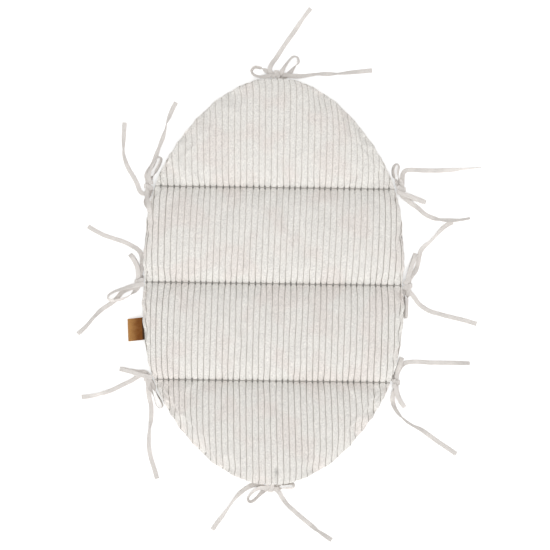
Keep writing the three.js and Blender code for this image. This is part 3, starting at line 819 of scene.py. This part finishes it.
def add_tape(station, order, name, node):
    route = route_of(station, order)
    places, headings = curve_through([Vector((x, y, z)) * mm for x, y, z, _ in route])
    across = across_curve(route, headings)
    along, outward = station["along"], station["outward"]
    turn = Matrix(((along[0], outward[0], 0), (along[1], outward[1], 0), (0, 0, 1)))
    origin = Vector((middle_x + station["at"][0], station["at"][1], 0))
    points, path, uv = [], [], []
    run = 0
    halves = gathered_halves(places, across)
    for place, ahead, width, half in zip(places, headings, across, halves):
        side = width * half
        face = ahead.cross(width) * tape_thickness / 2
        lowest = abs(side.z) + abs(face.z) + floor_gap
        centre = Vector((place.x, place.y, max(place.z, lowest)))
        if path:
            run += (centre - last_centre).length
        last_centre = centre
        path.append(tuple(origin + turn @ centre))
        for a, b in tape_section:
            points.append(tuple(origin + turn @ (centre + a * side + b * face)))
            uv.append((a * tape_width / 2 / mm, run / mm))
    faces = tube_faces(len(path), len(tape_section))
    piece = add_mesh(name, points, turned_all(faces, turn.determinant() < 0), uv)
    declare(piece, station["body"], node, "tie_tape")


for station in stations:
    for number, order in ((1, "first"), (2, "second")):
        ending = f"{station['name']}_{number}"
        add_tape(station, order, f"tape_{ending}", f"tie_{ending}")


# Panels
# A panel runs from `start` to `end` along Y; a dome starts at its tip
panels = [
    {"name": "head", "start": head_tip, "end": head_seam, "end_half": head_seam_half,
     "drift": (head_tip_drift, head_seam_drift), "dome": True},
    {"name": "back", "start": head_seam, "end": middle_seam, "start_half": head_seam_half,
     "end_half": middle_seam_half, "swell": back_swell,
     "drift": (head_seam_drift, middle_seam_drift), "dome": False},
    {"name": "seat", "start": middle_seam, "end": foot_seam, "start_half": middle_seam_half,
     "end_half": foot_seam_half, "swell": seat_swell,
     "drift": (middle_seam_drift, foot_seam_drift), "dome": False},
    {"name": "foot", "start": foot_tip, "end": foot_seam, "end_half": foot_seam_half,
     "drift": (foot_tip_drift, foot_seam_drift), "dome": True, "pucker": pucker_place},
]


def heading(panel):
    """1 where a panel runs towards the head, -1 where it runs towards the foot."""
    return 1 if panel["end"] > panel["start"] else -1


def half_width(panel, share):
    """Half the width of a panel at a share of its length from its start."""
    if panel["dome"]:
        return panel["end_half"] * np.sqrt(1 - (1 - share) ** dome_power)
    straight = panel["start_half"] + (panel["end_half"] - panel["start_half"]) * share
    return straight + panel["swell"] * (1 - np.abs(2 * share - 1) ** swell_power)


def widest_half(panel):
    """Half the width of a panel where it is widest."""
    return max(half_width(panel, np.linspace(0, 1, width_samples)))


def outline_share(panel, along):
    """Share of the outline for a share of the run, so that a dome's tip is not a point."""
    return tip_share + (1 - tip_share) * along if panel["dome"] else along


def fullness(panel, along, across):
    """How full the panel is, from 0 at its sewn edges to 1 in its middle."""
    channel = 1 - np.abs(2 * along - 1) ** channel_power
    if panel["dome"]:
        tip = np.sqrt(1 - np.abs(2 * along - 1) ** edge_power)
        channel = np.where(along < 0.5, tip, channel)
    return channel * np.sqrt(1 - np.abs(across) ** edge_power)


def full_rise(side):
    """How far a skin stands off its rim where it is full; side is 1 for the top, -1 below."""
    return (crown_height if side > 0 else under_depth) - cover_gap / 2


def pillow(panel, side, crown=1):
    """One skin of a panel as a grid of points."""
    along = (1 - np.cos(np.pi * np.arange(grid_rows + 1) / grid_rows)) / 2
    across = np.sin(np.pi / 2 * (2 * np.arange(grid_columns + 1) / grid_columns - 1))
    first = panel["start"] + (0 if panel["dome"] else heading(panel) * seam_clearance)
    last = panel["end"] - heading(panel) * seam_clearance
    half = half_width(panel, outline_share(panel, along))
    full = crown * fullness(panel, along[:, None], across[None, :])
    z = seam_height + side * (cover_gap / 2 + full_rise(side) * full)
    x = half[:, None] * across[None, :]
    y = np.broadcast_to((first + (last - first) * along)[:, None], x.shape)
    return np.stack([middle_x + x, y, z], axis=-1)


def rim_mask(shape):
    """True on the outer points of a grid."""
    mask = np.zeros(shape[:2], dtype=bool)
    mask[[0, -1], :] = True
    mask[:, [0, -1]] = True
    return mask


def closed_pillow(top, bottom):
    """Points and faces of the two skins joined along one rim."""
    count = top.shape[0] * top.shape[1]
    numbers_top = np.arange(count).reshape(top.shape[:2])
    inside = ~rim_mask(top.shape)
    numbers_bottom = numbers_top.copy()
    numbers_bottom[inside] = count + np.arange(inside.sum())
    points = np.concatenate([top.reshape(-1, 3), bottom[inside]])
    return points, grid_faces(numbers_top) + grid_faces(numbers_bottom, True), numbers_bottom


def filled(panels):
    """Blows all panels up as cloth bags with a pinned rim; gives how far each skin moved."""
    bags = []
    for panel in panels:
        top, bottom = pillow(panel, 1, slack_crown), pillow(panel, -1, slack_crown)
        points, faces, numbers_bottom = closed_pillow(top, bottom)
        faces = turned_all(faces, heading(panel) > 0)
        bag = add_mesh(f"bag_{panel['name']}", points, faces)
        pins = bag.vertex_groups.new(name="rim")
        pins.add([int(number) for number in np.flatnonzero(rim_mask(top.shape))], 1, "REPLACE")
        cloth = bag.modifiers.new("cloth", "CLOTH")
        for key, value in cloth_settings.items():
            setattr(cloth.settings, key, value)
        cloth.settings.vertex_group_mass = pins.name
        cloth.settings.effector_weights.gravity = 0
        cloth.point_cache.frame_start = 1
        cloth.point_cache.frame_end = fill_frames
        bags.append((bag, points, numbers_bottom, top.shape))
    for number in range(1, fill_frames + 1):
        bpy.context.scene.frame_set(number)
    moves = []
    depsgraph = bpy.context.evaluated_depsgraph_get()
    for bag, points, numbers_bottom, shape in bags:
        result = bag.evaluated_get(depsgraph).to_mesh()
        places = np.zeros(3 * len(points))
        result.vertices.foreach_get("co", places)
        move = places.reshape(-1, 3) - points
        length = np.linalg.norm(move, axis=1, keepdims=True)
        move = move * np.minimum(1, most_moved / np.maximum(length, tiny))
        moves.append((move[:shape[0] * shape[1]].reshape(shape), move[numbers_bottom]))
    bpy.context.scene.frame_set(1)
    for bag, *_ in bags:
        bpy.data.objects.remove(bag)
    return moves


def settled(panel, move, side):
    """The filled skin, brought to the height that the pad has and laid on the floor."""
    rim = seam_height + side * cover_gap / 2
    grid = pillow(panel, side)
    lift = plain_lift = side * (grid[..., 2] - rim)
    if move is not None:
        grid = pillow(panel, side, slack_crown) + move
        swollen = np.maximum(side * (grid[..., 2] - rim), 0)
        lift = full_rise(side) * (swollen / swollen.max()) ** plumpness
    seam_distance = np.abs(grid[..., 1] - panel["end"])
    if not panel["dome"]:
        seam_distance = np.minimum(seam_distance, np.abs(grid[..., 1] - panel["start"]))
    most = np.maximum(fold_slope * seam_distance, fold_start)
    lift = np.maximum(most * np.tanh(lift / most), least_fill * plain_lift)
    grid[..., 2] = np.maximum(rim + side * lift, 0)
    return grid


def cubic_weights(t):
    """Weights of four neighbours for a smooth curve, at a share of the way between two."""
    return (((2 - t) * t - 1) * t / 2, ((3 * t - 5) * t * t + 2) / 2,
            ((4 - 3 * t) * t + 1) * t / 2, (t - 1) * t * t / 2)


def sampled(grid, row, column):
    """Smooth place on a grid between its points."""
    wide = np.pad(grid, ((1, 1), (1, 1), (0, 0)), mode="reflect", reflect_type="odd")
    row_from = np.clip(np.floor(row).astype(int), 0, grid.shape[0] - 2)
    column_from = np.clip(np.floor(column).astype(int), 0, grid.shape[1] - 2)
    result = 0
    for i, row_weight in enumerate(cubic_weights(row - row_from)):
        for j, column_weight in enumerate(cubic_weights(column - column_from)):
            weight = (row_weight * column_weight)[..., None]
            result = result + weight * wide[row_from + i, column_from + j]
    return result


def wale_columns(widest):
    """Places across the cloth of the fine columns: close together in the grooves."""
    count = math.ceil(widest / wale_pitch)
    places = [(wale + step) * wale_pitch for wale in range(-count, count) for step in wale_steps]
    edges = np.arange(widest - edge_band, widest, edge_step)
    kept = []
    for place in np.sort(np.concatenate([places, edges, -edges])):
        apart = not kept or place - kept[-1] > nearest_columns
        if apart and abs(place) < widest - nearest_columns:
            kept.append(place)
    return np.array(kept)


def column_grid(panel, columns, rows):
    """Shares along the panel and across it for the points of each column."""
    table = np.linspace(0, 1, outline_samples)
    halves = half_width(panel, outline_share(panel, table))
    steps = np.linspace(0, 1, rows + 1)
    spread = (steps + (1 - np.cos(np.pi * steps)) / 2) / 2
    inside = halves >= np.abs(columns)[:, None]
    first = table[inside.argmax(axis=1)][:, None]
    last = table[::-1][inside[:, ::-1].argmax(axis=1)][:, None]
    along = first + (last - first) * spread
    half = half_width(panel, outline_share(panel, along))
    return along, np.clip(columns[:, None] / half, -1, 1), half


def on_grid(grid, along, across):
    """Places of the points with these shares on a coarse skin."""
    row = np.arccos(np.clip(1 - 2 * along, -1, 1)) / np.pi * grid_rows
    column = (np.arcsin(across) * 2 / np.pi + 1) / 2 * grid_columns
    return sampled(grid, row, column)


def normals_of(points, sign):
    """Outward directions of a grid of points."""
    cross = sign * np.cross(np.gradient(points, axis=0), np.gradient(points, axis=1))
    return cross / np.maximum(np.linalg.norm(cross, axis=-1, keepdims=True), tiny)


def closed_between(panel, upper, lower):
    """Points and faces of a closed body between two skins with the same columns."""
    points = np.concatenate([upper.reshape(-1, 3), lower.reshape(-1, 3)])
    numbers = np.split(np.arange(len(points)), [upper.shape[0] * upper.shape[1]])
    over, under = numbers[0].reshape(upper.shape[:2]), numbers[1].reshape(lower.shape[:2])
    faces = grid_faces(over) + grid_faces(under, True)
    for row in (0, -1):
        faces += grid_faces(np.stack([over[:, row], under[:, row]], axis=1), row == 0)
    for column in (0, -1):
        end = [*over[column].tolist(), *under[column, ::-1].tolist()]
        faces += turned_all([end], column == -1)
    return points, turned_all(faces, heading(panel) > 0)


def edge_distances(panel, columns, along, half):
    """How far each point lies from the panel's sides and from its nearest channel."""
    length = abs(panel["end"] - panel["start"])
    from_side = np.maximum(half - np.abs(columns)[:, None], 0)
    from_end = (1 - along) * length
    return from_side, from_end if panel["dome"] else np.minimum(from_end, along * length)


def corduroy_surface(panel, grid, columns):
    """The top skin with its wales pressed in, and where each point lies on the flat cloth."""
    along, across, half = column_grid(panel, columns, fine_rows)
    surface = on_grid(grid, along, across)
    normals = normals_of(surface, heading(panel))
    from_side, seam_distance = edge_distances(panel, columns, along, half)
    rim = 1 - np.exp(-(from_side / rim_fade) ** 2)
    seams = 1 + seam_deepening * np.exp(-seam_distance / seam_reach)
    place = columns[:, None] / wale_pitch
    groove = np.round(place)
    from_groove = (place - groove) * wale_pitch
    depth = groove_depth * np.exp(-(from_groove / groove_width) ** 2)
    run = (panel["end"] - panel["start"]) * along
    if "pucker" in panel:
        aside = (columns[:, None] - panel["pucker"]) / pucker_width
        up = (np.abs(run) - pucker_rise) / pucker_run
        depth = depth + pucker_depth * np.exp(-aside ** 2 - up ** 2)
    room = groove_share * (surface[..., 2] - seam_height)
    depth = np.clip(depth * rim * seams, 0, np.maximum(room, 0))
    surface = surface - normals * depth[..., None]

    flat_y = panel["start"] + run
    turn = 2 * np.pi * flat_y / wander_length
    wave = np.sin(turn + wander_phase * groove)
    wave = wave + ripple_share * np.sin(ripple_rate * turn + ripple_phase * groove)
    bend = seam_bend * np.sin(bend_phase * groove + panel["end"] / bend_reach)
    bend = bend * np.exp(-(seam_distance / bend_reach) ** 2)
    near_groove = np.cos(np.pi * from_groove / wale_pitch)
    surface[..., 0] += (groove_wander * wave + bend) * rim * near_groove
    first, last = panel["drift"]
    drift = first + (last - first) * along
    surface[..., 0] += drift * (1 - np.exp(-(from_side / drift_fade) ** 2))
    return surface, np.stack([np.broadcast_to(place, flat_y.shape), flat_y / wale_pitch], axis=-1)


def drawn_in(skin, inset, share):
    """A skin moved inward all round and lowered towards the height of the seams."""
    low, high = skin.min(axis=(0, 1)), skin.max(axis=(0, 1))
    centre = (low + high) / 2
    inner = centre + (skin - centre) * (1 - 2 * inset / (high - low))
    inner[..., 2] = seam_height + (skin[..., 2] - seam_height) * share
    return inner


def lining_of(grid, along, across):
    """The inner side of a cover."""
    return on_grid(drawn_in(grid, cover_inset, cover_share), along, across)


def add_front(panel, grid):
    """The corduroy cover of a panel; its flat map counts in wales."""
    columns = wale_columns(widest_half(panel))
    outside, flat = corduroy_surface(panel, grid, columns)
    lining = lining_of(grid, *column_grid(panel, columns, inner_rows)[:2])
    points, faces = closed_between(panel, outside, lining)
    uv = np.concatenate([flat.reshape(-1, 2), lining.reshape(-1, 3)[:, :2] / wale_pitch])
    return add_mesh(f"front_{panel['name']}", points, faces, uv)


def add_plain(panel, name, upper, lower):
    """A closed body between two skins with the same columns, mapped flat in millimetres."""
    points, faces = closed_between(panel, upper, lower)
    return add_mesh(f"{name}_{panel['name']}", points, faces, points[:, :2] / mm)


def add_back(panel, grid):
    """The plain cover below, with small gathers where its edges are sewn."""
    widest = widest_half(panel)
    columns = np.linspace(-widest, widest, back_columns + 2)[1:-1]
    along, across, half = column_grid(panel, columns, grid_rows)
    outside = on_grid(grid, along, across)
    turn = 2 * np.pi * (columns[:, None] + panel["end"]) / gather_pitch
    fold = (1 + np.sin(turn + gather_swing * np.sin(turn / gather_swing ** 2))) / 2
    from_edge = np.minimum(*edge_distances(panel, columns, along, half))
    depth = gather_depth * fold * np.exp(-from_edge / gather_reach)
    room = groove_share * (seam_height - outside[..., 2])
    outside[..., 2] += np.minimum(depth, np.maximum(room, 0))
    return add_plain(panel, "back", lining_of(grid, along, across), outside)


def add_fill(panel, top, bottom):
    """The wadding inside a panel."""
    skins = [drawn_in(grid, fill_inset, fill_share).transpose(1, 0, 2) for grid in (top, bottom)]
    return add_plain(panel, "fill", *skins)


moves = filled(panels)
for panel, (top_move, bottom_move) in zip(panels, moves):
    top = settled(panel, top_move, 1)
    bottom = settled(panel, bottom_move, -1)
    for piece, node, slot in (
            (add_front(panel, top), "front_cover", "corduroy"),
            (add_back(panel, bottom), "back_cover", "backing_cotton"),
            (add_fill(panel, top, bottom), "wadding", "wadding")):
        declare(piece, f"{panel['name']}_section", f"{node}_{panel['name']}", slot)


# Channel stitching
def add_bar(points, faces, start, end, radius, sides):
    """Adds a short rounded bar to lists of points and faces."""
    along = (end - start).normalized()
    across = along.orthogonal().normalized()
    other = along.cross(across)
    base = len(points)
    rings = [(start, bar_tip_share), (start + along * radius, 1), (end - along * radius, 1),
             (end, bar_tip_share)]
    for place, share in rings:
        for number in range(sides):
            angle = 2 * math.pi * number / sides
            aside = math.cos(angle) * across + math.sin(angle) * other
            points.append(place + share * radius * aside)
    faces += [[base + number for number in face] for face in tube_faces(len(rings), sides)]


def add_stitching(name, seam, half, body):
    """The gathered cloth of a channel with a row of stitches over and under it."""
    points, faces = [], []
    centre = Vector((middle_x, seam, seam_height))
    across = Vector((half, 0, 0))
    reach = Vector((stitch_length / 2, 0, 0))
    # The crease bar's dark thread colour is painted shade in the channel
    add_bar(points, faces, centre - across, centre + across, crease_radius, crease_sides)
    count = int(2 * half / stitch_pitch)
    for number in range(count):
        x = (number - (count - 1) / 2) * stitch_pitch
        for side in (-1, 1):
            middle = centre + Vector((x, 0, side * crease_radius))
            add_bar(points, faces, middle - reach, middle + reach, stitch_radius, stitch_sides)
    piece = add_mesh(f"stitching_{name}", points, faces)
    declare(piece, body, f"channel_stitching_{name}", "thread")


for name, seam, half, body in (
        ("head", head_seam, head_seam_half, "back_section"),
        ("middle", middle_seam, middle_seam_half, "seat_section"),
        ("foot", foot_seam, foot_seam_half, "seat_section")):
    add_stitching(name, seam, half, body)


# Label
def folded_line(radius):
    """The strip's profile at a distance from its middle: along a leaf, round the fold, back."""
    fold = -label_reach + label_slot / 2 + label_leather
    turns = math.pi * (0.5 + np.linspace(0, 1, label_fold_steps + 1))
    arc = [(fold + radius * math.cos(turn), radius * math.sin(turn)) for turn in turns]
    return [(label_tuck, radius), *arc, (label_tuck, -radius)]


def add_label(seat):
    """A strip of leather folded in two, its raw ends caught in the seam."""
    outside = folded_line(label_slot / 2 + label_leather)
    profile = outside + list(reversed(folded_line(label_slot / 2)))
    count = len(profile)
    points, uv = [], []
    for y in (-label_width / 2, label_width / 2):
        for x, z in profile:
            points.append(Vector((x, y + label_slope * x, z)))
            uv.append((x / mm, y / mm))
    faces, numbers = ring_faces(2, count)
    for number, ring in enumerate(numbers):
        leaf, lining = ring[:len(outside)], ring[::-1][:len(outside)]
        faces += turned_all(grid_faces(np.stack([leaf, lining]), True), number == 0)
    edge = float(half_width(seat, label_centre_share)) + label_width / 2 * math.sin(label_skew)
    centre = seat["start"] + (seat["end"] - seat["start"]) * label_centre_share
    shift = Vector((middle_x - edge - cover_gap, centre, seam_height))
    turn = Euler((0, -label_droop, label_skew)).to_matrix()
    piece = add_mesh("label", [turn @ point + shift for point in points], faces, uv)
    bevel = piece.modifiers.new("edges", "BEVEL")
    bevel.width = label_edge_round
    bevel.segments = label_bevel_steps
    bevel.limit_method = "ANGLE"
    declare(piece, "seat_section", "leather_label", "label_leather")


add_label(panels[2])


# Floor and light
ground = Recipe("floor")
light_path = ground.node("ShaderNodeLightPath")
seen = ground.math("MAXIMUM", light_path.outputs["Is Camera Ray"],
                   light_path.outputs["Is Glossy Ray"])
seen = ground.math("MAXIMUM", seen, light_path.outputs["Is Transmission Ray"])
ground.fill(ground.shader, {
    "Base Color": floor_colour, "Roughness": 1, "Specular IOR Level": 0,
    "Emission Color": white, "Emission Strength": ground.math("MULTIPLY", seen, floor_glow),
})
corners = [(-floor_half, -floor_half, 0), (floor_half, -floor_half, 0),
           (floor_half, floor_half, 0), (-floor_half, floor_half, 0)]
floor = add_mesh("floor", corners, [tuple(range(len(corners)))])
floor.data.materials.append(ground.material)

world = bpy.data.worlds.new("world")
world.use_nodes = True
sky = world.node_tree.nodes["Background"].inputs
sky["Color"].default_value = white
sky["Strength"].default_value = sky_strength
bpy.context.scene.world = world

for name, (strength, spread, tilt, turn) in suns.items():
    sun = add_object(name, bpy.data.lights.new(name, "SUN"))
    sun.data.energy = strength
    sun.data.angle = math.radians(spread)
    sun.rotation_euler = (math.radians(tilt), 0, math.radians(turn))

bpy.context.scene.view_settings.view_transform = "Standard"
